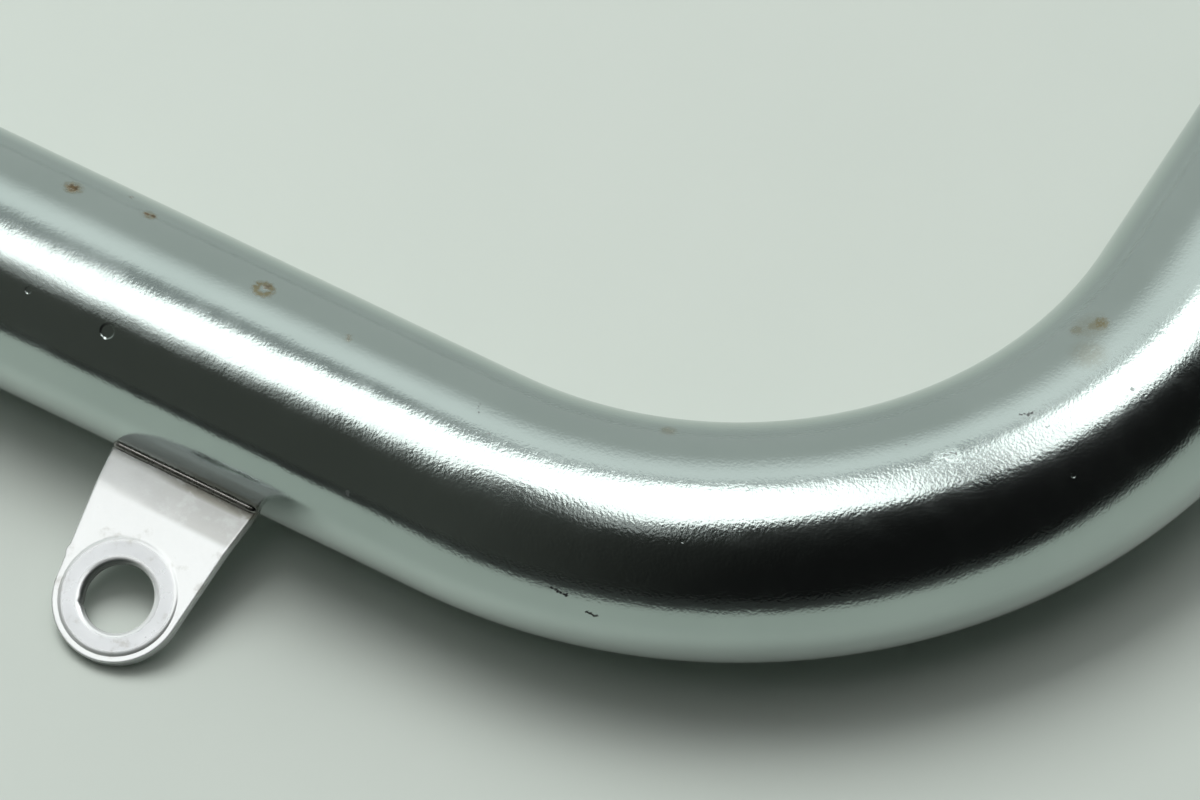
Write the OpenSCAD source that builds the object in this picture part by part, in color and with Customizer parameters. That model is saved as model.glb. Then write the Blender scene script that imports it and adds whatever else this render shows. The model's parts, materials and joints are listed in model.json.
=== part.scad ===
// Bent round tube with a small stamped lug brazed to the outside of one leg.
// The tube lies in the level plane: leg A runs along +X from its open end at the origin,
// the bend turns it towards +Y, and leg B runs on to the second open end.

/* [Tube] */
// Outside diameter of the tube
tube_d = 22.2; // [19:0.1:26]
// Wall thickness of the tube
tube_wall = 1.6; // [1:0.1:2.5]
// Radius of the bend, at the tube's centre line
bend_r = 50; // [40:1:90]
// Angle that the tube turns through
bend_angle = 90; // [45:1:120]
// Straight length from the first open end to the bend
leg_a = 96; // [80:1:200]
// Straight length from the bend to the second open end
leg_b = 70; // [30:1:200]
// Edge break inside and outside each cut end
end_break = 0.4; // [0.2:0.05:0.5]

/* [Lug] */
// Distance from the lug's middle back from the start of the bend
lug_setback = 24.7; // [10:0.1:60]
// Angle below level at which the middle of the sheet meets the tube
lug_seat = 23.2; // [0:0.1:30]
// Angle that the sheet falls where it leaves the tube
lug_fall = 11.4; // [0:0.1:14]
// Sheet thickness of the lug
lug_t = 1.2; // [1:0.1:2]
// Width of the lug at its root
lug_root_w = 15.5; // [13:0.1:20]
// Distance from the tube's surface out to the crease
crease_reach = 4.6; // [3:0.1:6]
// Further angle that the sheet turns down at the crease
crease_angle = 9.1; // [1:0.1:12]
// Angle between the crease and the tube's line
crease_skew = 3.4; // [0:0.1:6]
// Radius of the crease, at the middle of the sheet
crease_r = 3; // [2:0.1:6]
// Distance from the tube's surface along the sheet to the middle of the hole
hole_reach = 13.1; // [13:0.1:18]
// Diameter of the hole
hole_d = 6.8; // [5:0.1:8]

/* [Collar] */
// Width of the raised collar round the hole
collar_w = 2.15; // [1.85:0.05:3]
// Height of the collar above the sheet
collar_h = 0.3; // [0.2:0.05:1]
// Width of the collar's rounded outer shoulder
collar_shoulder = 0.9; // [0.3:0.05:0.9]
// Rounding of the lip where the collar turns into the hole
lip_round = 0.7; // [0.2:0.1:0.9]
// Flat margin of sheet left outside the collar at the lug's end
collar_margin = 0.8; // [0.4:0.05:2]

/* [Braze] */
// Radius of the bead of braze along the lug's root
bead_r = 0.5; // [0.4:0.05:1]

/* [Hidden] */
$fn = 96;

tube_r = tube_d / 2;
tube_bore_r = tube_r - tube_wall;

// The lug's root frame: x along the tube, y out along the sheet, z up through it, from the middle of the seat
seat = tube_r * [cos(lug_seat), -sin(lug_seat)];
seat_lean = lug_seat - lug_fall;
root_extra = 2 * lug_t;

// The end frame is the root frame moved to the crease and turned down there
hole_r = hole_d / 2;
hole_mid = [0, hole_reach - crease_reach];
collar_r = hole_r + collar_w;
collar_top = lug_t / 2 + collar_h;
lug_end_r = collar_r + collar_margin;

// Points of an arc about c, with half-widths r, from angle a0 to a1
arc_steps = 10;
function arc(c, r, a0, a1) =
    [for (i = [0:arc_steps]) let (a = a0 + (a1 - a0) * i / arc_steps) c + [r.x * cos(a), r.y * sin(a)]];

// The lug's straight side runs from its root corner to where it touches the round end
root_corner = [lug_root_w / 2, -crease_reach];
side_in = root_corner - hole_mid;
touch_angle = atan2(side_in.y, side_in.x) + acos(lug_end_r / norm(side_in));
touch = hole_mid + lug_end_r * [cos(touch_angle), sin(touch_angle)];
function lug_half_width(y) =
    root_corner.x + (touch.x - root_corner.x) * (y - root_corner.y) / (touch.y - root_corner.y);

// The sheet's section in the root frame, long enough for the outline to trim
crease_start = crease_reach - crease_r * tan(crease_angle / 2);
crease_mid = [crease_start, -crease_r];
crease_top_r = (crease_r + lug_t / 2) * [1, 1];
crease_low_r = (crease_r - lug_t / 2) * [1, 1];
end_up = [sin(crease_angle), cos(crease_angle)];
sheet_far = crease_mid + (hole_reach + 2 * lug_end_r) * [cos(crease_angle), -sin(crease_angle)];
sheet_section = concat(
    [[-root_extra, -lug_t / 2], [-root_extra, lug_t / 2]],
    arc(crease_mid, crease_top_r, 90, 90 - crease_angle),
    [sheet_far + (crease_r + lug_t / 2) * end_up, sheet_far + (crease_r - lug_t / 2) * end_up],
    arc(crease_mid, crease_low_r, 90 - crease_angle, 90)
);

// Where the tube's axis lies from the seat, and where its surface meets the sheet's upper face
function tube_axis(lean) = tube_r * [-cos(lean), sin(lean)];
function bead_corner(lean) =
    let (rise = lug_t / 2 - tube_axis(lean).y) tube_axis(lean) + [sqrt(tube_r ^ 2 - rise ^ 2), rise];
bead_length = 2 * lug_half_width(bead_r - crease_reach);
// Fine facets where a thin bead depends on the curve
bead_fn = 720;

// One straight leg on +Z: it joins the bend at z = 0 and its open end has broken edges
module straight_leg(length) {
    rotate_extrude()
        polygon([
            [tube_bore_r, 0],
            [tube_r, 0],
            [tube_r, length - end_break],
            [tube_r - end_break, length],
            [tube_bore_r + end_break, length],
            [tube_bore_r, length - end_break]
        ]);
}

module tube_section() {
    difference() {
        circle(r = tube_r);
        circle(r = tube_bore_r);
    }
}

module bent_tube() {
    color("silver") {
        translate([leg_a, 0, 0]) rotate([0, -90, 0]) straight_leg(leg_a);
        translate([leg_a, bend_r, 0]) {
            rotate([0, 0, -90]) rotate_extrude(angle = bend_angle) translate([bend_r, 0]) tube_section();
            rotate([0, 0, bend_angle - 90]) translate([bend_r, 0, 0]) rotate([-90, 0, 0]) straight_leg(leg_b);
        }
    }
}

// Puts what is drawn in the lug's root frame at its place on leg A
module on_leg_a() {
    translate([leg_a - lug_setback, 0, 0])
        rotate([0, 0, 180]) translate([0, seat.x, seat.y]) rotate([-lug_fall, 0, 0]) children();
}

// Turns what is drawn in the root frame onto the crease's line, by an angle down past it
module at_crease(down) {
    translate([0, crease_reach, 0])
        rotate([0, 0, -crease_skew]) rotate([-down, 0, 0]) children();
}

// Puts what is drawn in the lug's end frame past the crease
module past_crease() {
    at_crease(crease_angle) rotate([0, 0, crease_skew]) children();
}

module lug_outline() {
    root_y = -crease_reach - root_extra;
    root_x = lug_half_width(root_y);
    difference() {
        union() {
            polygon([[-root_x, root_y], [root_x, root_y], touch, [-touch.x, touch.y]]);
            translate(hole_mid) circle(r = lug_end_r);
        }
        translate(hole_mid) circle(r = (hole_r + collar_r) / 2);
    }
}

module lug_sheet() {
    intersection() {
        at_crease(0)
            translate([0, -crease_reach, 0])
                rotate([90, 0, 90]) linear_extrude(2 * lug_root_w, center = true) polygon(sheet_section);
        past_crease() linear_extrude(hole_reach, center = true) lug_outline();
    }
}

module lug_collar() {
    translate(hole_mid)
        rotate_extrude()
            polygon(concat(
                [[hole_r, -lug_t / 2], [collar_r, -lug_t / 2]],
                arc([collar_r - collar_shoulder, lug_t / 2], [collar_shoulder, collar_h], 0, 90),
                arc([hole_r + lip_round, collar_top - lip_round], lip_round * [1, 1], 90, 180)
            ));
}

module mounting_lug() {
    axis = tube_axis(seat_lean);
    color("gainsboro")
        on_leg_a()
            difference() {
                union() {
                    lug_sheet();
                    past_crease() lug_collar();
                }
                translate([0, axis.x, axis.y])
                    rotate([0, 90, 0]) cylinder(r = tube_r, h = 2 * lug_root_w, center = true);
            }
}

// The bead's section above the sheet, for a tube whose axis leans up from it
module bead_section(lean) {
    corner = bead_corner(lean);
    difference() {
        intersection() {
            translate(corner) circle(r = bead_r, $fn = bead_fn);
            translate([corner.x - 2 * bead_r, corner.y]) square([4 * bead_r, 2 * bead_r]);
        }
        translate(tube_axis(lean)) circle(r = tube_r, $fn = bead_fn);
    }
}

module bead_run(lean) {
    rotate([90, 0, 90]) linear_extrude(bead_length, center = true) bead_section(lean);
}

module braze_fillet() {
    color("darkgray")
        on_leg_a() {
            bead_run(seat_lean);
            mirror([0, 0, 1]) bead_run(-seat_lean);
        }
}

bent_tube();
mounting_lug();
braze_fillet();
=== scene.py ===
"""A bent chrome tube with a brazed lug, lying on a pale floor under softboxes."""
import json
import math

import bpy
from mathutils import Matrix, Vector, noise


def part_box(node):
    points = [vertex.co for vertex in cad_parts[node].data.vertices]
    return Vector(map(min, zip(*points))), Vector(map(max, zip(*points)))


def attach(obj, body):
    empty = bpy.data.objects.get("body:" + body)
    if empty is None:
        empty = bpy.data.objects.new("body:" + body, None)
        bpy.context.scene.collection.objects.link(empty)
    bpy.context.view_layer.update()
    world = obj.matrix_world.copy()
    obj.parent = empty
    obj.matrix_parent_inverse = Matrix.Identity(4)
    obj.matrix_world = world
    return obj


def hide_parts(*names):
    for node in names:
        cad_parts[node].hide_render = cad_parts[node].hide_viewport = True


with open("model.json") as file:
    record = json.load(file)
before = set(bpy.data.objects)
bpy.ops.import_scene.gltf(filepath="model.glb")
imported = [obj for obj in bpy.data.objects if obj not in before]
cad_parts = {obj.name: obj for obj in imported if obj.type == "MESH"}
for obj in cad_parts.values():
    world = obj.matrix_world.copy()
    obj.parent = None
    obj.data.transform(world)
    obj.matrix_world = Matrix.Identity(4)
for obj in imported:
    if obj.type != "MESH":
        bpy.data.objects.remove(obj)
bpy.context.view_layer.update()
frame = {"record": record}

# Sizes from the frame, in metres
MM = 0.001
MOUNTS = {mount["name"]: mount for mount in frame["record"]["mounts"]}
TUBE_LOW, TUBE_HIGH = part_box("bent_tube")
TUBE_R = TUBE_HIGH.z
BORE_R = MOUNTS["leg_a_end"]["dims"]["r_mm"] * MM
END_BREAK = 0.4 * MM
LEG_A = MOUNTS["leg_a_end"]["dims"]["length_mm"] * MM + END_BREAK
BEND_R = TUBE_HIGH.x - TUBE_R - LEG_A
LEG_B = TUBE_HIGH.y - BEND_R
BEND_LENGTH = BEND_R * math.pi / 2
TUBE_LENGTH = LEG_A + BEND_LENGTH + LEG_B
FLOOR_Z = TUBE_LOW.z

# The lug: its root frame has x along the tube, y out along the sheet and z up through it
LUG_MIDDLE = LEG_A - 24.7 * MM
HOLE_R = MOUNTS["lug_hole"]["dims"]["r_mm"] * MM
SEAT_ANGLE = math.radians(23.2)
LUG_FALL = math.radians(11.4)
SEAT_LEAN = SEAT_ANGLE - LUG_FALL
LUG_ALONG = Vector((-1, 0, 0))
LUG_OUT = Vector((0, -math.cos(LUG_FALL), -math.sin(LUG_FALL)))
LUG_FRAME = Matrix((LUG_ALONG, LUG_OUT, LUG_ALONG.cross(LUG_OUT))).transposed().to_4x4()
LUG_FRAME.translation = (LUG_MIDDLE, -TUBE_R * math.cos(SEAT_ANGLE), -TUBE_R * math.sin(SEAT_ANGLE))
LUG_T = 1.2 * MM
LUG_ROOT_W = 15.5 * MM
CREASE_REACH = 4.6 * MM
CREASE_ANGLE = math.radians(9.1)
CREASE_SKEW = math.radians(3.4)
CREASE_R = 3 * MM
HOLE_REACH = 13.1 * MM
COLLAR_R = HOLE_R + 2.25 * MM
COLLAR_H = 0.2 * MM
COLLAR_SHOULDER = 0.5 * MM
COLLAR_COVE = 0.1 * MM
# Power of the curve that rounds the collar's shoulder
CROWN = 4
LIP_ROUND = 0.7 * MM
LUG_END_R = COLLAR_R + 0.7 * MM
EDGE_ROLL = 0.15 * MM
EDGE_BURR = 0.1 * MM

# The bead of braze along the lug's root
BEAD_R = 0.5 * MM

# The photograph's camera
CAMERA_AZIMUTH = math.radians(29.8)
CAMERA_ELEVATION = math.radians(56)
CAMERA_DISTANCE = 0.9
CAMERA_TARGET = Vector((LEG_A + 5.8 * MM, 14 * MM, 0))
BACK = Vector((-math.sin(CAMERA_AZIMUTH), math.cos(CAMERA_AZIMUTH), 0))
PIXELS_PER_METRE = 10731
IMAGE_WIDTH = 1200
SENSOR_WIDTH = 36
CLIP_START, CLIP_END = 0.01, 50

# Lamps, a metre above the tube: middle along and back from the target, size along and back, and radiance
LAMP_TURN = math.radians(58.5)
LAMP_HEIGHT = 1.0
MIRRORED_LAMPS = {
    "softbox_end": (-0.485, 0.1925, 0.35, 0.285, 2.4),
    "softbox_left": (-0.035, 0.03, 0.55, 0.61, 2.4),
    "softbox_right": (0.58, -0.07, 0.5, 0.58, 2.4),
    "fringe_near": (-0.715, 0.09, 0.11, 0.14, 1.2),
    "fringe_far": (-0.865, 0.04, 0.19, 0.12, 0.4),
    "fringe_bend": (-0.39, -0.28, 0.16, 0.28, 0.5),
}
FLOOR_LAMPS = {
    "fill": (-0.21, 0.03, 0.9, 0.61, 1.45),
    "key": (-0.03, 0.64, 0.68, 0.83, 6.1),
}

# Edges that turn more than this stay sharp
SHARP_ANGLE = math.radians(50)


def new_object(name, verts, faces, materials, smooth=True):
    """Makes a mesh object of the given points and faces."""
    mesh = bpy.data.meshes.new(name)
    mesh.from_pydata([tuple(v) for v in verts], [], faces)
    for material in materials:
        mesh.materials.append(material)
    mesh.validate()
    if smooth:
        mesh.shade_smooth()
        mesh.set_sharp_from_angle(angle=SHARP_ANGLE)
    obj = bpy.data.objects.new(name, mesh)
    bpy.context.scene.collection.objects.link(obj)
    return obj


def ring_faces(first, second, count):
    """Quads between two closed rings that start at the given point numbers."""
    faces = []
    for i in range(count):
        j = (i + 1) % count
        faces.append((first + i, first + j, second + j, second + i))
    return faces


# Node helpers

def put(tree, socket, value):
    """Links a socket to another, or sets its value."""
    if isinstance(value, bpy.types.NodeSocket):
        tree.links.new(value, socket)
    else:
        socket.default_value = value


def calc(tree, operation, a, b=0.0, clamp=False):
    """A Math node's result."""
    node = tree.nodes.new("ShaderNodeMath")
    node.operation = operation
    node.use_clamp = clamp
    put(tree, node.inputs[0], a)
    put(tree, node.inputs[1], b)
    return node.outputs[0]


def vector_calc(tree, operation, a, b):
    """A Vector Math node's result: a number for distances and dot products."""
    node = tree.nodes.new("ShaderNodeVectorMath")
    node.operation = operation
    put(tree, node.inputs[0], a)
    put(tree, node.inputs[1], b)
    return node.outputs["Value"] if operation in ("DISTANCE", "DOT_PRODUCT") else node.outputs["Vector"]


def remap(tree, value, low, high, to_low=0.0, to_high=1.0):
    """Maps a value smoothly from one range to another and holds it there."""
    node = tree.nodes.new("ShaderNodeMapRange")
    node.interpolation_type = "SMOOTHSTEP"
    node.clamp = True
    put(tree, node.inputs["Value"], value)
    for name, number in (("From Min", low), ("From Max", high), ("To Min", to_low), ("To Max", to_high)):
        put(tree, node.inputs[name], number)
    return node.outputs["Result"]


def grain(tree, coords, scale, detail=2.0, roughness=0.5):
    """A noise texture's value."""
    node = tree.nodes.new("ShaderNodeTexNoise")
    put(tree, node.inputs["Vector"], coords)
    node.inputs["Scale"].default_value = scale
    node.inputs["Detail"].default_value = detail
    node.inputs["Roughness"].default_value = roughness
    return node.outputs["Fac"]


def blend(tree, factor, a, b):
    """Mixes two colours."""
    node = tree.nodes.new("ShaderNodeMix")
    node.data_type = "RGBA"
    put(tree, node.inputs["Factor"], factor)
    put(tree, node.inputs["A"], a)
    put(tree, node.inputs["B"], b)
    return node.outputs["Result"]


def bump(tree, height, distance, normal=None):
    """A bump normal of the given height in metres."""
    node = tree.nodes.new("ShaderNodeBump")
    node.inputs["Strength"].default_value = 1.0
    node.inputs["Distance"].default_value = distance
    put(tree, node.inputs["Height"], height)
    if normal is not None:
        put(tree, node.inputs["Normal"], normal)
    return node.outputs["Normal"]


def new_material(name):
    """An empty node material with its Principled shader."""
    material = bpy.data.materials.new(name)
    material.use_nodes = True
    tree = material.node_tree
    shader = tree.nodes["Principled BSDF"]
    return material, tree, shader


def object_coords(tree):
    """The place in the object's own frame, in metres."""
    return tree.nodes.new("ShaderNodeTexCoord").outputs["Object"]


def uv_coords(tree):
    """The place on the tube's surface: along it and round it, in metres."""
    return tree.nodes.new("ShaderNodeTexCoord").outputs["UV"]


# Marks on the tube: millimetres along it from leg A's open end, degrees up round it from the lug's side,
# the mark's radius in millimetres and how strong it is
RUST_CORES = [
    (50.7, 113, 0.8, 1.0), (58.0, 119.8, 0.42, 0.9), (58.6, 120.6, 0.42, 0.9), (55.3, 130, 0.3, 0.6),
    (81.9, 101, 0.25, 0.5), (72.3, 108, 0.5, 0.8),
]
RUST_HALOS = [
    (50.7, 113, 1.3, 0.9), (58.3, 120, 1.0, 0.8), (81.9, 101, 0.6, 0.4), (114.6, 120, 1.2, 0.5),
    (161.75, 107, 1.2, 1.0), (161.1, 109, 1.0, 0.7), (159.75, 113.5, 1.1, 0.6), (160.8, 110, 2.6, 0.3),
    (158.2, 98, 2.4, 0.3),
]
RUST_RINGS = [(72.2, 106, 0.75)]
RUST_RING_WIDTH = 0.6
DENTS = [
    (61.3, 50.7, 0.85, 1.0), (52.6, 52.1, 0.4, 0.4), (150.25, 50.5, 0.3, 0.36), (117.25, 56.5, 0.22, 0.15),
]
# Dark dashes run from one such place to another, with a radius and strength
DASHES = [
    ((107.5, 22.6), (108.6, 20.5), 0.24, 1.0),
    ((110.45, 12.8), (111.05, 11.6), 0.24, 1.0),
    ((148.8, 88.8), (149.9, 86.4), 0.2, 0.8),
    ((96.1, 99.0), (96.5, 94.0), 0.14, 0.6),
    ((88.5, 29.8), (88.7, 28.8), 0.2, 0.8),
    ((158.7, 70.0), (158.8, 69.0), 0.16, 0.4),
    ((150.2, 77.2), (150.3, 76.8), 0.15, 0.4),
    ((141.2, 84.6), (141.7, 83.0), 0.13, 0.6),
    ((140.6, 84.0), (140.9, 82.8), 0.11, 0.5),
    ((137.7, 95.7), (137.8, 95.3), 0.14, 0.6),
    ((98.4, 85.8), (98.6, 85.2), 0.13, 0.5),
]
DASH_SPOTS = 4
# Bright scuffs are short scratches in a dulled patch
SCUFFS = [(141.3, 83.0, 0.9, 1.0), (140.2, 86.0, 0.7, 0.6)]
# The plate is a little rougher where the bend stretched the tube
STRETCH_FADE = 14 * MM


def dash_spots():
    """The spots that make up the dark dashes."""
    spots = []
    for start, end, radius, strength in DASHES:
        for i in range(DASH_SPOTS):
            share = i / (DASH_SPOTS - 1)
            along = start[0] + (end[0] - start[0]) * share
            around = start[1] + (end[1] - start[1]) * share
            spots.append((along, around, radius, strength))
    return spots


def from_mark(tree, coords, along, around):
    """Distance over the tube's surface from a mark's middle."""
    return vector_calc(tree, "DISTANCE", coords, (along * MM, math.radians(around) * TUBE_R, 0))


def mark_mask(tree, coords, marks, core):
    """The union of soft round spots: each has its strength inside core times its radius, and 0 outside it."""
    mask = 0.0
    for along, around, radius, strength in marks:
        away = from_mark(tree, coords, along, around)
        spot = remap(tree, away, radius * MM, radius * core * MM, 0.0, strength)
        mask = spot if mask == 0.0 else calc(tree, "MAXIMUM", mask, spot)
    return mask


def ring_mask(tree, coords, along, around, radius):
    """A soft ring round a mark's middle."""
    off_ring = calc(tree, "SUBTRACT", from_mark(tree, coords, along, around), radius * MM)
    return remap(tree, calc(tree, "ABSOLUTE", off_ring), RUST_RING_WIDTH * MM, 0.0)


# Materials: noise scales count features a metre, and a cut is the range of noise that a blend runs over

PLATE_DARK = (0.435, 0.495, 0.475, 1)
PLATE_PALE = (0.47, 0.53, 0.51, 1)
STAIN_COLOUR = (0.24, 0.19, 0.085, 1)
RUST_PALE = (0.12, 0.08, 0.03, 1)
RUST_DARK = (0.045, 0.032, 0.015, 1)
DASH_COLOUR = (0.02, 0.02, 0.02, 1)
WANDER_SCALE = 2600
WANDER_DETAIL = 3
WANDER = 0.9 * MM
BREAKUP_SCALE = 2200
RUST_CUT = (0.2, 0.45)
STAIN_CUT = (0.25, 0.5)
RUST_TONE_CUT = (0.4, 0.65)
STAIN_COVER = 0.8
SMUDGE_SCALE = 60
SMUDGE_CUT = (0.3, 0.75)
HAZE_SCALE = 420
HAZE_CUT = (0.4, 0.8)
POLISH = (0.11, 0.15)
HAZE_ROUGH = 0.04
STRETCH_ROUGH = 0.03
STAIN_ROUGH = 0.25
SCUFF_ROUGH = 0.06
COVER_ROUGH = 0.75
PEEL_SCALE = 3400
PEEL_HEIGHT = 0.016 * MM
LEG_PEEL = 0.4
SWELL_SCALE = 240
SWELL_HEIGHT = 0.03 * MM
SCRATCH_SCALE = (2200, 6000, 0)
SCRATCH_HEIGHT = 0.05 * MM
DENT_DEPTH = 0.09 * MM
RUST_HEIGHT = 0.04 * MM


def chrome_tube_material():
    """Bright plate with a fine orange-peel grain, rust specks, small dents, scuffs and dark marks."""
    material, tree, shader = new_material("tube_chrome")
    place = uv_coords(tree)
    solid = object_coords(tree)
    ragged = tree.nodes.new("ShaderNodeTexNoise")
    put(tree, ragged.inputs["Vector"], place)
    ragged.inputs["Scale"].default_value = WANDER_SCALE
    ragged.inputs["Detail"].default_value = WANDER_DETAIL
    offset = vector_calc(tree, "SUBTRACT", ragged.outputs["Color"], (0.5, 0.5, 0.5))
    offset = vector_calc(tree, "MULTIPLY", offset, (WANDER, WANDER, 0))
    warped = vector_calc(tree, "ADD", place, offset)

    breakup = grain(tree, place, BREAKUP_SCALE, detail=4, roughness=0.6)
    rusty = remap(tree, breakup, *RUST_CUT)
    stained = remap(tree, breakup, *STAIN_CUT)
    rust = calc(tree, "MULTIPLY", mark_mask(tree, warped, RUST_CORES, core=0.3), rusty)
    stain = calc(tree, "MULTIPLY", mark_mask(tree, warped, RUST_HALOS, core=0.25), stained)
    for ring in RUST_RINGS:
        broken_ring = calc(tree, "MULTIPLY", ring_mask(tree, warped, *ring), stained)
        stain = calc(tree, "MAXIMUM", stain, broken_ring)
    dark = mark_mask(tree, warped, dash_spots(), core=0.5)
    dents = mark_mask(tree, place, DENTS, core=0.6)
    scuffs = mark_mask(tree, warped, SCUFFS, core=0.3)

    smudge = grain(tree, solid, SMUDGE_SCALE, detail=4, roughness=0.55)
    haze = grain(tree, solid, HAZE_SCALE, detail=3, roughness=0.6)
    colour = blend(tree, remap(tree, smudge, *SMUDGE_CUT), PLATE_DARK, PLATE_PALE)
    colour = blend(tree, calc(tree, "MULTIPLY", stain, STAIN_COVER), colour, STAIN_COLOUR)
    rust_tone = blend(tree, remap(tree, breakup, *RUST_TONE_CUT), RUST_PALE, RUST_DARK)
    colour = blend(tree, rust, colour, rust_tone)
    put(tree, shader.inputs["Base Color"], blend(tree, dark, colour, DASH_COLOUR))
    cover = calc(tree, "MAXIMUM", rust, dark)
    put(tree, shader.inputs["Metallic"], calc(tree, "SUBTRACT", 1.0, cover, clamp=True))

    along = vector_calc(tree, "DOT_PRODUCT", place, (1, 0, 0))
    bend_end = LEG_A + BEND_LENGTH
    stretched = calc(
        tree, "MULTIPLY",
        remap(tree, along, LEG_A - STRETCH_FADE, LEG_A + STRETCH_FADE),
        remap(tree, along, bend_end + STRETCH_FADE, bend_end - STRETCH_FADE),
    )
    rough = remap(tree, smudge, *SMUDGE_CUT, *POLISH)
    rough = calc(tree, "ADD", rough, remap(tree, haze, *HAZE_CUT, 0.0, HAZE_ROUGH))
    for mask, amount in ((stretched, STRETCH_ROUGH), (stain, STAIN_ROUGH), (scuffs, SCUFF_ROUGH)):
        rough = calc(tree, "ADD", rough, calc(tree, "MULTIPLY", mask, amount))
    rough = calc(tree, "MAXIMUM", rough, calc(tree, "MULTIPLY", cover, COVER_ROUGH))
    put(tree, shader.inputs["Roughness"], rough)

    peel = grain(tree, solid, PEEL_SCALE, detail=1, roughness=0.5)
    peel = calc(tree, "MULTIPLY", peel, remap(tree, stretched, 0, 1, LEG_PEEL, 1))
    scratch_place = vector_calc(tree, "MULTIPLY", place, SCRATCH_SCALE)
    scratches = grain(tree, scratch_place, scale=1, detail=2, roughness=0.6)
    normal = bump(tree, grain(tree, solid, SWELL_SCALE), SWELL_HEIGHT)
    normal = bump(tree, peel, PEEL_HEIGHT, normal)
    normal = bump(tree, calc(tree, "MULTIPLY", dents, -1.0), DENT_DEPTH, normal)
    normal = bump(tree, calc(tree, "MULTIPLY", scuffs, scratches), SCRATCH_HEIGHT, normal)
    put(tree, shader.inputs["Normal"], bump(tree, rust, RUST_HEIGHT, normal))
    return material


BORE_DARK = (0.16, 0.155, 0.15, 1)
BORE_PALE = (0.3, 0.295, 0.29, 1)
BLOOM_COLOUR = (0.19, 0.1, 0.05, 1)
DIE_LINE_SCALE = (25, 1500, 0)
DIE_LINE_HEIGHT = 0.008 * MM
DIE_LINE_CUT = (0.3, 0.7)
BLOOM_SCALE = 160
BLOOM_CUT = (0.55, 0.75)
BORE_METAL = (0.9, 0.3)
BORE_ROUGH = (0.42, 0.58)


def bare_bore_material():
    """Dull drawn steel inside the tube, with lengthwise die lines and a light bloom of rust."""
    material, tree, shader = new_material("bare_bore")
    place = uv_coords(tree)
    line_place = vector_calc(tree, "MULTIPLY", place, DIE_LINE_SCALE)
    lines = grain(tree, line_place, scale=1, detail=3, roughness=0.6)
    bloom = grain(tree, place, BLOOM_SCALE, detail=5, roughness=0.6)
    steel = blend(tree, lines, BORE_DARK, BORE_PALE)
    put(tree, shader.inputs["Base Color"], blend(tree, remap(tree, bloom, *BLOOM_CUT), steel, BLOOM_COLOUR))
    put(tree, shader.inputs["Metallic"], remap(tree, bloom, *BLOOM_CUT, *BORE_METAL))
    put(tree, shader.inputs["Roughness"], remap(tree, lines, *DIE_LINE_CUT, *BORE_ROUGH))
    put(tree, shader.inputs["Normal"], bump(tree, lines, DIE_LINE_HEIGHT))
    return material


SATIN_DARK = (0.66, 0.68, 0.675, 1)
SATIN_PALE = (0.72, 0.74, 0.735, 1)
RUBBED_COLOUR = (0.61, 0.63, 0.64, 1)
# Painted highlight: the lip is coloured near white
LIP_HIGHLIGHT_COLOUR = (0.92, 0.94, 0.94, 1)
# Painted shade for the hole's wall
WALL_SHADE_COLOUR = (0.1, 0.11, 0.105, 1)
# Dirt, which also carries the painted shade at the root
DIRT_AND_SHADE_COLOUR = (0.3, 0.29, 0.25, 1)
SATIN_METAL = 0.38
SATIN_ROUGH = (0.19, 0.25)
RUBBED_ROUGH = 0.08
SATIN_SMUDGE_SCALE = 260
DIRT_SCALE = 520
DIRT_CUT = (0.55, 0.73)
DIRT_COVER = 0.45
ROLL_SCALE = 420
ROLL_HEIGHT = 0.015 * MM
SATIN_SCALE = 3200
SATIN_HEIGHT = 0.005 * MM
# Reach of the rubbed ring and of the lip's painted highlight, in lip roundings from the hole's edge
RUBBED_FROM = (0.5, 1.1)
LIP_TO = (0.9, 0.5)
# Depth below the collar's top at which the hole's wall turns to painted shade, in lip roundings, and on its
# shaded far side
WALL_FROM = (0.6, 1.0)
FAR_SHADE_FROM = (0.05, 0.45)
FAR_SHADE_SIDE = (-0.92, 0.4, 0)
FAR_SHADE_REACH = 0.8 * HOLE_R
# Painted shade on the root side of the crease, and a strip of it along the bead, broken into dirt blotches:
# where each ends going out from the tube,
#  the sides of the lug that it thickens from and to, and how much it covers
ROOT_SHADES = [
    ((4.9 * MM, 4.2 * MM), (7 * MM, -5 * MM), 0.4),
    ((2.0 * MM, 1.0 * MM), (4 * MM, -2 * MM), 1.0),
]
ROOT_SHADE_CUT = (0.3, 0.5)
THIN_ROOT_SHADE = 0.4


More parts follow.
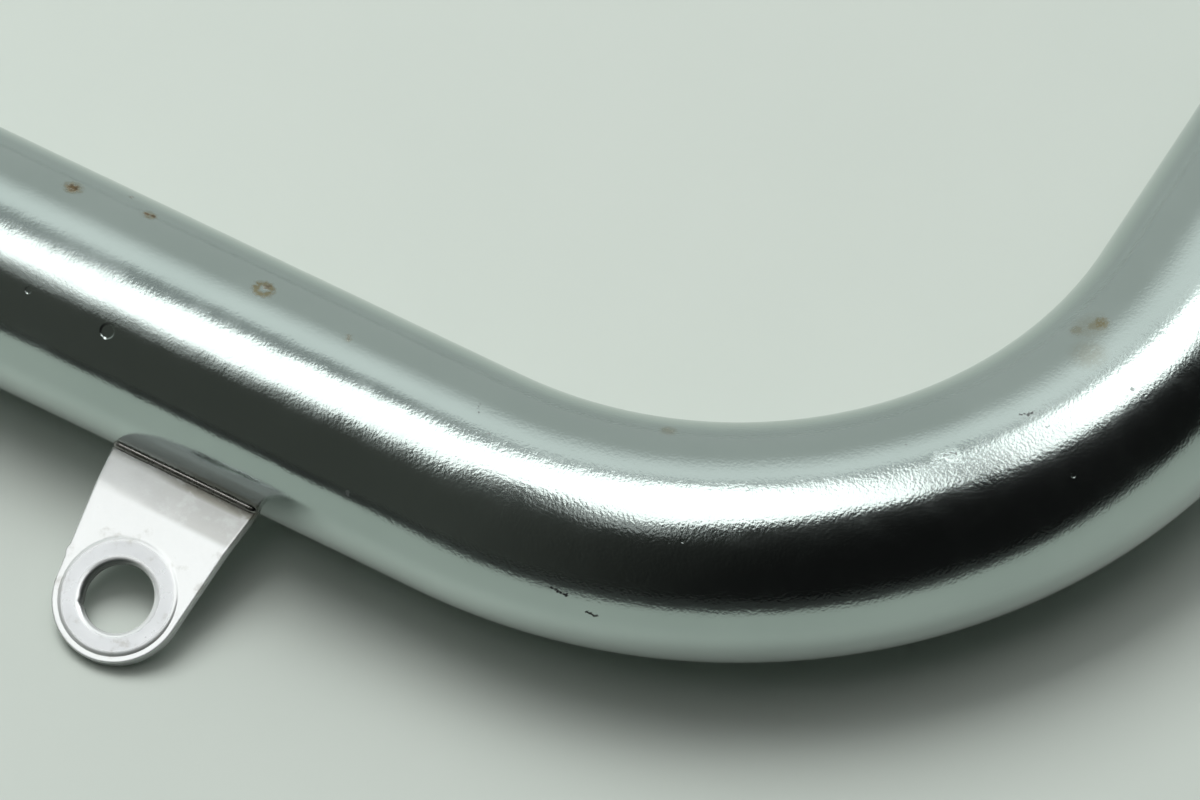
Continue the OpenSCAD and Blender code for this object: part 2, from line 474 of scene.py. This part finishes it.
def lug_material():
    """Satin plate on pressed sheet: soft roll marks, dirt, painted shade at the root and in the hole, a dull
    collar and a painted highlight on the lip.
    """
    material, tree, shader = new_material("lug_chrome")
    solid = object_coords(tree)
    smudge = grain(tree, solid, SATIN_SMUDGE_SCALE, detail=4, roughness=0.6)
    dirt = grain(tree, solid, DIRT_SCALE, detail=5, roughness=0.65)
    hole_top = LUG_FRAME @ fold(0, HOLE_REACH, LUG_T / 2 + COLLAR_H)
    hole_down = (LUG_FRAME @ fold(0, HOLE_REACH, 0) - hole_top).normalized()
    from_hole = vector_calc(tree, "DISTANCE", solid, hole_top)
    in_hole = vector_calc(tree, "SUBTRACT", solid, hole_top)
    depth = vector_calc(tree, "DOT_PRODUCT", in_hole, hole_down)
    rubbed = calc(
        tree, "MULTIPLY",
        remap(tree, from_hole, *(HOLE_R + share * LIP_ROUND for share in RUBBED_FROM)),
        remap(tree, from_hole, COLLAR_R, COLLAR_R - COLLAR_SHOULDER),
    )
    # Painted highlight: the lip's rounding is blended to near white
    lip = remap(tree, from_hole, *(HOLE_R + share * LIP_ROUND for share in LIP_TO))
    # Painted shade: the hole's wall turns dark deep down and on its far side
    deep = remap(tree, depth, *(share * LIP_ROUND for share in WALL_FROM))
    far_wall_shade = calc(
        tree, "MULTIPLY",
        remap(tree, depth, *(share * LIP_ROUND for share in FAR_SHADE_FROM)),
        remap(tree, vector_calc(tree, "DOT_PRODUCT", in_hole, FAR_SHADE_SIDE), 0.0, FAR_SHADE_REACH),
    )
    wall = calc(tree, "MULTIPLY", lip, calc(tree, "MAXIMUM", deep, far_wall_shade))
    colour = blend(tree, remap(tree, smudge, *SMUDGE_CUT), SATIN_DARK, SATIN_PALE)
    colour = blend(tree, rubbed, colour, RUBBED_COLOUR)
    colour = blend(tree, lip, colour, LIP_HIGHLIGHT_COLOUR)
    colour = blend(tree, wall, colour, WALL_SHADE_COLOUR)
    dirt_and_shade = remap(tree, dirt, *DIRT_CUT, 0.0, DIRT_COVER)
    from_root = vector_calc(tree, "SUBTRACT", solid, LUG_FRAME.translation)
    out = vector_calc(tree, "DOT_PRODUCT", from_root, LUG_OUT)
    side = vector_calc(tree, "DOT_PRODUCT", from_root, LUG_ALONG)
    # Painted shade along the root and the bead, broken into dirt blotches
    for ends, sides, cover in ROOT_SHADES:
        spread = calc(tree, "MULTIPLY", remap(tree, out, *ends), remap(tree, side, *sides, THIN_ROOT_SHADE, 1.0))
        blotches = remap(tree, dirt, *ROOT_SHADE_CUT, THIN_ROOT_SHADE * cover, cover)
        dirt_and_shade = calc(tree, "MAXIMUM", dirt_and_shade, calc(tree, "MULTIPLY", spread, blotches))
    put(tree, shader.inputs["Base Color"], blend(tree, dirt_and_shade, colour, DIRT_AND_SHADE_COLOUR))
    shader.inputs["Metallic"].default_value = SATIN_METAL
    rough = remap(tree, smudge, *SMUDGE_CUT, *SATIN_ROUGH)
    rough = calc(tree, "ADD", rough, calc(tree, "MULTIPLY", rubbed, RUBBED_ROUGH))
    put(tree, shader.inputs["Roughness"], rough)
    normal = bump(tree, grain(tree, solid, ROLL_SCALE), ROLL_HEIGHT)
    normal = bump(tree, grain(tree, solid, SATIN_SCALE), SATIN_HEIGHT, normal)
    put(tree, shader.inputs["Normal"], normal)
    return material


BRAZE_DARK = (0.27, 0.262, 0.245, 1)
BRAZE_PALE = (0.35, 0.342, 0.325, 1)
BRAZE_ROUGH = (0.2, 0.34)
MOTTLE_SCALE = 900
MOTTLE_CUT = (0.3, 0.7)
RIPPLE_SCALE = 1200
RIPPLE_HEIGHT = 0.005 * MM


def fillet_material():
    """Plated braze metal: mottled and faintly rippled."""
    material, tree, shader = new_material("fillet_chrome")
    solid = object_coords(tree)
    mottled = grain(tree, solid, MOTTLE_SCALE, detail=4, roughness=0.6)
    colour = blend(tree, remap(tree, mottled, *MOTTLE_CUT), BRAZE_DARK, BRAZE_PALE)
    put(tree, shader.inputs["Base Color"], colour)
    shader.inputs["Metallic"].default_value = 1.0
    put(tree, shader.inputs["Roughness"], remap(tree, mottled, *MOTTLE_CUT, *BRAZE_ROUGH))
    put(tree, shader.inputs["Normal"], bump(tree, grain(tree, solid, RIPPLE_SCALE), RIPPLE_HEIGHT))
    return material


# The chrome mirrors a floor that, in reflections only, is painted dark past an edge in front of the tube and
# painted with shade far behind it
FLOOR_DARK = (0.57, 0.625, 0.575, 1)
FLOOR_PALE = (0.6, 0.65, 0.6, 1)
FLOOR_FRONT = (0.03, 0.03, 0.03, 1)
FLOOR_FAR_SHADE = (0.47, 0.505, 0.485, 1)
FLOOR_HALF = 4.0
FLOOR_MOTTLE_SCALE = 40
FLOOR_ROUGH = 0.55
FLOOR_EDGE = (75 * MM, 95 * MM)
FLOOR_FADE = (-25 * MM, -110 * MM)
# In reflections only, the floor glows with painted light on the outside of the bend, lifting the tube's
# shadow there: inner, brightest and outer distance
LIFT_FROM, LIFT_MOST, LIFT_TO = 4 * MM, 13 * MM, 30 * MM
LIFT_STRENGTH = 0.28


def outside_bend(tree, place):
    """Distance over the floor from below the tube's axis towards the outside of the bend."""
    corner = vector_calc(tree, "SUBTRACT", place, (LEG_A, BEND_R, FLOOR_Z))
    corner = vector_calc(tree, "MAXIMUM", corner, (0, -FLOOR_HALF, 0))
    corner = vector_calc(tree, "MINIMUM", corner, (FLOOR_HALF, 0, 0))
    return calc(tree, "SUBTRACT", vector_calc(tree, "DISTANCE", corner, (0, 0, 0)), BEND_R)


def floor_material():
    """Plain pale board with the faintest mottle. In reflections only it is painted dark in front, painted
    with shade far behind and glows with painted light beside the tube.
    """
    material, tree, shader = new_material("floor")
    place = object_coords(tree)
    mottle = grain(tree, place, FLOOR_MOTTLE_SCALE, detail=4, roughness=0.6)
    colour = blend(tree, mottle, FLOOR_DARK, FLOOR_PALE)
    ahead = vector_calc(tree, "DOT_PRODUCT", vector_calc(tree, "SUBTRACT", place, CAMERA_TARGET), -BACK)
    in_mirror = tree.nodes.new("ShaderNodeLightPath").outputs["Is Glossy Ray"]
    # In reflections only: painted dark past the front edge and painted shade far behind
    past_edge = calc(tree, "MULTIPLY", remap(tree, ahead, *FLOOR_EDGE), in_mirror)
    far_back_shade = calc(tree, "MULTIPLY", remap(tree, ahead, *FLOOR_FADE), in_mirror)
    colour = blend(tree, past_edge, colour, FLOOR_FRONT)
    put(tree, shader.inputs["Base Color"], blend(tree, far_back_shade, colour, FLOOR_FAR_SHADE))
    shader.inputs["Roughness"].default_value = FLOOR_ROUGH
    outside = outside_bend(tree, place)
    beside = calc(
        tree, "MULTIPLY",
        remap(tree, outside, LIFT_FROM, LIFT_MOST),
        remap(tree, outside, LIFT_TO, LIFT_MOST),
    )
    # Painted light: in reflections the floor glows beside the tube
    lift = calc(tree, "MULTIPLY", calc(tree, "MULTIPLY", beside, in_mirror), LIFT_STRENGTH)
    shader.inputs["Emission Color"].default_value = FLOOR_PALE
    put(tree, shader.inputs["Emission Strength"], lift)
    return material


# The tube

AROUND = 160
LEG_STEPS = 48
BEND_STEPS = 128
LIP_STEPS = 5


def centre_line(along):
    """The point on the tube's axis, and the level direction out of the bend, at a length along it."""
    if along <= LEG_A:
        return Vector((along, 0, 0)), Vector((0, -1, 0))
    angle = min((along - LEG_A) / BEND_R, math.pi / 2)
    outward = Vector((math.sin(angle), -math.cos(angle), 0))
    point = Vector((LEG_A, BEND_R, 0)) + BEND_R * outward
    point.y += max(0.0, along - LEG_A - BEND_LENGTH)
    return point, outward


def tube_lengths():
    """Lengths along the tube at which it has a ring, between its two broken edges."""
    first = [END_BREAK + (LEG_A - END_BREAK) * i / LEG_STEPS for i in range(LEG_STEPS)]
    bend = [LEG_A + BEND_LENGTH * i / BEND_STEPS for i in range(BEND_STEPS)]
    start = LEG_A + BEND_LENGTH
    last = [start + (LEG_B - END_BREAK) * i / LEG_STEPS for i in range(LEG_STEPS + 1)]
    return first + bend + last


def tube_profile():
    """The wall's closed outline: (length along, radius, inside) for each ring."""
    outside = [(along, TUBE_R, False) for along in tube_lengths()]
    inside = [(along, BORE_R, True) for along in reversed(tube_lengths())]
    far_lip = []
    for i in range(1, LIP_STEPS):
        turn = math.pi / 2 * i / LIP_STEPS
        along = TUBE_LENGTH - END_BREAK * (1 - math.sin(turn))
        far_lip.append((along, TUBE_R - END_BREAK * (1 - math.cos(turn)), False))
    flat = [(TUBE_LENGTH, TUBE_R - END_BREAK, False), (TUBE_LENGTH, BORE_R + END_BREAK, False)]
    inner_lip = [(along, BORE_R + TUBE_R - radius, False) for along, radius, _ in reversed(far_lip)]
    far_end = far_lip + flat + inner_lip
    near_end = [(TUBE_LENGTH - along, radius, skin) for along, radius, skin in reversed(far_end)]
    return outside + far_end + inside + near_end


def make_tube():
    """The tube's skin, bore and ends as one closed mesh, unrolled in its UV map."""
    rings = tube_profile()
    verts = []
    for along, radius, _ in rings:
        centre, outward = centre_line(along)
        for i in range(AROUND):
            turn = 2 * math.pi * i / AROUND
            verts.append(centre + radius * (math.cos(turn) * outward + Vector((0, 0, math.sin(turn)))))
    faces = []
    inner = []
    for k in range(len(rings)):
        after = (k + 1) % len(rings)
        faces += ring_faces(after * AROUND, k * AROUND, AROUND)
        inner += [rings[k][2] and rings[after][2]] * AROUND
    tube = new_object("chrome_tube", verts, faces, [chrome_tube_material(), bare_bore_material()])
    mesh = tube.data
    spread = mesh.uv_layers.new(name="along_around")
    for poly, is_inner in zip(mesh.polygons, inner):
        poly.material_index = 1 if is_inner else 0
        numbers = [mesh.loops[loop].vertex_index for loop in poly.loop_indices]
        crosses_seam = max(v % AROUND for v in numbers) - min(v % AROUND for v in numbers) > AROUND / 2
        for loop, v in zip(poly.loop_indices, numbers):
            step = v % AROUND
            if crosses_seam and step == 0:
                step = AROUND
            spread.data[loop].uv = (rings[v // AROUND][0], 2 * math.pi * step / AROUND * TUBE_R)
    return tube


# The lug

ARC_POINTS = 112
SIDE_POINTS = 48
ROOT_POINTS = 40
WEB_RINGS = 24
SHOULDER_STEPS = 12
NICK_ANGLE = math.radians(33)
NICK_HALF = math.radians(7)
NICK_DEPTH = 0.18 * MM
NUB_SHARE = 0.19
NUB_HALF = 0.035
NUB_HEIGHT = 0.18 * MM
# The collar stands highest towards this angle round the hole, and opposite it loses this share of its height
COLLAR_HIGH_ANGLE = math.radians(110)
COLLAR_SINK = 0.8


def fold(x, y, height):
    """The point in the root frame of a place on the flat sheet: it bends down past the skewed crease."""
    across = Vector((math.sin(CREASE_SKEW), math.cos(CREASE_SKEW)))
    place = Vector((x, y))
    past = (place - Vector((0, CREASE_REACH))).dot(across)
    set_in = CREASE_R * math.tan(CREASE_ANGLE / 2)
    turn = min(max(0.0, past + set_in) / CREASE_R, CREASE_ANGLE)
    if turn == 0:
        return Vector((x, y, height))
    beyond = past + set_in - CREASE_R * turn
    out = (CREASE_R + height) * math.sin(turn) + beyond * math.cos(turn) - set_in
    up = (CREASE_R + height) * math.cos(turn) - beyond * math.sin(turn) - CREASE_R
    place += (out - past) * across
    return Vector((place.x, place.y, up))


def root_edge(height, lean):
    """How far out the tube's surface is at a height through the sheet."""
    above = height - TUBE_R * math.sin(lean)
    return math.sqrt(TUBE_R ** 2 - above ** 2) - TUBE_R * math.cos(lean)


def lug_outline():
    """The sheet's outline, counter-clockwise: (point, inward direction, whether on the root)."""
    centre = Vector((0, HOLE_REACH))
    foot = Vector((LUG_ROOT_W / 2, 0))
    to_foot = foot - centre
    touch = math.atan2(to_foot.y, to_foot.x) + math.acos(LUG_END_R / to_foot.length)
    points = []
    for i in range(ARC_POINTS + 1):
        angle = touch + (math.pi - 2 * touch) * i / ARC_POINTS
        radial = Vector((math.cos(angle), math.sin(angle)))
        points.append((centre + LUG_END_R * radial, -radial, False))
    radial = Vector((math.cos(touch), math.sin(touch)))
    top = centre + LUG_END_R * radial
    side = []
    mirrored = []
    for i in range(1, SIDE_POINTS):
        share = i / SIDE_POINTS
        point = top.lerp(foot, share)
        nub = NUB_HEIGHT * max(0.0, 1 - ((share - NUB_SHARE) / NUB_HALF) ** 2)
        side.append((point + nub * radial, -radial, False))
        mirrored.append((Vector((-point.x, point.y)), Vector((radial.x, -radial.y)), False))
    root = []
    for i in range(ROOT_POINTS + 1):
        root.append((Vector((foot.x * (2 * i / ROOT_POINTS - 1), 0)), Vector((0, 0)), True))
    return points + mirrored + root + side[::-1]


def lug_profile():
    """Rings of the lug from the hole's lower edge, out, over and back in: (share, size, height).
    At share 0 a ring follows the outline, inset by its size, and at share 1 a circle of that radius."""
    low = -LUG_T / 2
    high = LUG_T / 2
    top = high + COLLAR_H
    shares = [i / WEB_RINGS for i in range(1, WEB_RINGS)]
    foot = COLLAR_R + COLLAR_COVE
    rings = [(1, HOLE_R, low), (1, foot, low)]
    rings += [(share, foot, low) for share in reversed(shares)]
    rings += [(0, EDGE_BURR, low), (0, 0, low + EDGE_BURR)]
    for i in range(LIP_STEPS + 1):
        turn = math.pi / 2 * i / LIP_STEPS
        rings.append((0, EDGE_ROLL * (1 - math.cos(turn)), high - EDGE_ROLL * (1 - math.sin(turn))))
    rings += [(share, foot, high) for share in shares]
    for i in range(SHOULDER_STEPS + 1):
        rise = i / SHOULDER_STEPS
        radius = foot - (COLLAR_SHOULDER + COLLAR_COVE) * rise
        rings.append((1, radius, high + COLLAR_H * (1 - (1 - rise) ** CROWN)))
    for i in range(2 * LIP_STEPS + 1):
        turn = math.pi / 2 * (1 + i / (2 * LIP_STEPS))
        rings.append((1, HOLE_R + LIP_ROUND * (1 + math.cos(turn)), top - LIP_ROUND * (1 - math.sin(turn))))
    return rings


def make_lug():
    """The stamped lug as one closed mesh of rings, folded at its crease."""
    outline = lug_outline()
    profile = lug_profile()
    centre = Vector((0, HOLE_REACH))
    count = len(outline)
    verts = []
    for share, size, height in profile:
        for point, inward, on_root in outline:
            inset = size if share == 0 else EDGE_ROLL
            edge = point + inset * inward
            if on_root:
                edge = Vector((point.x * (1 - 2 * inset / LUG_ROOT_W), root_edge(height, SEAT_LEAN)))
            spoke = point - centre
            angle = math.atan2(spoke.y, spoke.x)
            nick = max(0.0, 1 - abs(angle - NICK_ANGLE) / NICK_HALF)
            near_lip = max(0.0, 1 - (size - HOLE_R) / LIP_ROUND)
            reach = size + NICK_DEPTH * nick * near_lip
            circle = centre + reach * Vector((math.cos(angle), math.sin(angle)))
            place = edge.lerp(circle, share)
            sink = COLLAR_SINK * (1 - math.cos(angle - COLLAR_HIGH_ANGLE)) / 2
            level = height - sink * max(0.0, height - LUG_T / 2)
            verts.append(LUG_FRAME @ fold(place.x, place.y, level))
    faces = []
    for k in range(len(profile)):
        faces += ring_faces(k * count, (k + 1) % len(profile) * count, count)
    return new_object("stamped_lug", verts, faces, [lug_material()])


# The braze bead

BEAD_STEPS = 72
BEAD_POINTS = 14
BEAD_TIP = 0.45
BEAD_RIPPLE = 0.06
BEAD_RIPPLE_LENGTH = 2 * MM


def bead_section(radius, lean):
    """The section of a bead above the sheet, in the root frame: out, then up."""
    axis = Vector((-TUBE_R * math.cos(lean), TUBE_R * math.sin(lean)))
    corner_angle = math.asin((LUG_T / 2 - axis.y) / TUBE_R)
    corner = axis + TUBE_R * Vector((math.cos(corner_angle), math.sin(corner_angle)))
    sweep = math.pi / 2 + corner_angle + math.asin(radius / TUBE_R / 2)
    points = []
    for i in range(BEAD_POINTS + 1):
        angle = sweep * i / BEAD_POINTS
        points.append(corner + radius * Vector((math.cos(angle), math.sin(angle))))
    return points + [corner]


def make_bead(half_length):
    """The two runs of braze, above and below the sheet, with tapered ends."""
    verts = []
    faces = []
    count = BEAD_POINTS + 2
    for side in (1, -1):
        base = len(verts)
        for k in range(BEAD_STEPS + 1):
            x = half_length * (2 * k / BEAD_STEPS - 1)
            from_end = (half_length - abs(x)) / BEAD_R
            taper = BEAD_TIP + (1 - BEAD_TIP) * math.sqrt(min(1.0, from_end))
            ripple = 1 + BEAD_RIPPLE * noise.noise(Vector((x / BEAD_RIPPLE_LENGTH, side, 0)))
            section = bead_section(BEAD_R * taper * ripple, side * SEAT_LEAN)
            for point in section[::side]:
                verts.append(LUG_FRAME @ Vector((x, point.x, side * point.y)))
        for k in range(BEAD_STEPS):
            faces += ring_faces(base + k * count, base + (k + 1) * count, count)
        faces.append(tuple(base + i for i in reversed(range(count))))
        last = base + BEAD_STEPS * count
        faces.append(tuple(last + i for i in range(count)))
    return new_object("braze_runs", verts, faces, [fillet_material()])


# The stage

def make_floor():
    """The plain floor that the tube lies on."""
    signs = ((-1, -1), (1, -1), (1, 1), (-1, 1))
    corners = [(x * FLOOR_HALF, y * FLOOR_HALF, FLOOR_Z) for x, y in signs]
    floor = new_object("floor", corners, [(0, 1, 2, 3)], [floor_material()], smooth=False)


def make_camera():
    """The camera at the photograph's angle."""
    flat = math.cos(CAMERA_ELEVATION)
    look = Vector((
        -math.sin(CAMERA_AZIMUTH) * flat,
        math.cos(CAMERA_AZIMUTH) * flat,
        -math.sin(CAMERA_ELEVATION),
    ))
    data = bpy.data.cameras.new("camera")
    data.sensor_width = SENSOR_WIDTH
    data.lens = SENSOR_WIDTH * PIXELS_PER_METRE * CAMERA_DISTANCE / IMAGE_WIDTH
    data.clip_start = CLIP_START
    data.clip_end = CLIP_END
    camera = bpy.data.objects.new("camera", data)
    camera.location = CAMERA_TARGET - CAMERA_DISTANCE * look
    camera.rotation_euler = look.to_track_quat("-Z", "Y").to_euler()
    bpy.context.scene.collection.objects.link(camera)
    bpy.context.scene.camera = camera


def lamp(name, along, back, width, depth, radiance):
    """A level rectangular lamp over the tube, facing down."""
    data = bpy.data.lights.new(name, "AREA")
    data.shape = "RECTANGLE"
    data.size, data.size_y = width, depth
    data.energy = radiance * math.pi * width * depth
    light = bpy.data.objects.new(name, data)
    place = Matrix.Rotation(LAMP_TURN, 3, "Z") @ Vector((along, back, LAMP_HEIGHT))
    light.location = CAMERA_TARGET + place
    light.rotation_euler = (0, 0, LAMP_TURN)
    bpy.context.scene.collection.objects.link(light)
    return light


def make_lights():
    """Softboxes with dim fringes that the chrome mirrors, and a fill and a key that light dull surfaces."""
    for name, values in MIRRORED_LAMPS.items():
        lamp(name, *values).visible_diffuse = False
    for name, values in FLOOR_LAMPS.items():
        lamp(name, *values).visible_glossy = False


# The room that the chrome mirrors, and the ranges of direction over which its tones change
ROOM_LOW = (0.56, 0.6, 0.575, 1)
ROOM_HIGH = (1.08, 1.14, 1.12, 1)
ROOM_TOP = (0.36, 0.39, 0.385, 1)
FRONT_RIGHT = (0.008, 0.008, 0.008, 1)
FRONT_LEFT = (0.08, 0.085, 0.075, 1)
HIGH_RISE = (0.55, 0.82)
TOP_RISE = (0.87, 0.92)
BACK_TURN = (0.0, 0.3)
LEFT_TURN = (-0.6, 0.6)


def make_world():
    """A pale room behind the tube and a dark one in front of it."""
    world = bpy.data.worlds.new("studio")
    world.use_nodes = True
    bpy.context.scene.world = world
    tree = world.node_tree
    sky = tree.nodes["Background"]
    direction = tree.nodes.new("ShaderNodeTexCoord").outputs["Generated"]
    up = vector_calc(tree, "DOT_PRODUCT", direction, (0, 0, 1))
    left = vector_calc(tree, "DOT_PRODUCT", direction, (-1, 0, 0))
    behind = vector_calc(tree, "DOT_PRODUCT", direction, BACK)
    pale = blend(tree, remap(tree, up, *HIGH_RISE), ROOM_LOW, ROOM_HIGH)
    pale = blend(tree, remap(tree, up, *TOP_RISE), pale, ROOM_TOP)
    dark = blend(tree, remap(tree, left, *LEFT_TURN), FRONT_RIGHT, FRONT_LEFT)
    put(tree, sky.inputs["Color"], blend(tree, remap(tree, behind, *BACK_TURN), dark, pale))
    sky.inputs["Strength"].default_value = 1.0


tube = make_tube()
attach(tube, "root")
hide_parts("bent_tube")

lug = make_lug()
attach(lug, "root")
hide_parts("mounting_lug")

BEAD_LOW, BEAD_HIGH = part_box("braze_fillet")
bead = make_bead((BEAD_HIGH.x - BEAD_LOW.x) / 2)
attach(bead, "root")
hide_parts("braze_fillet")

make_floor()
make_camera()
make_lights()
make_world()
bpy.context.scene.view_settings.view_transform = "Standard"
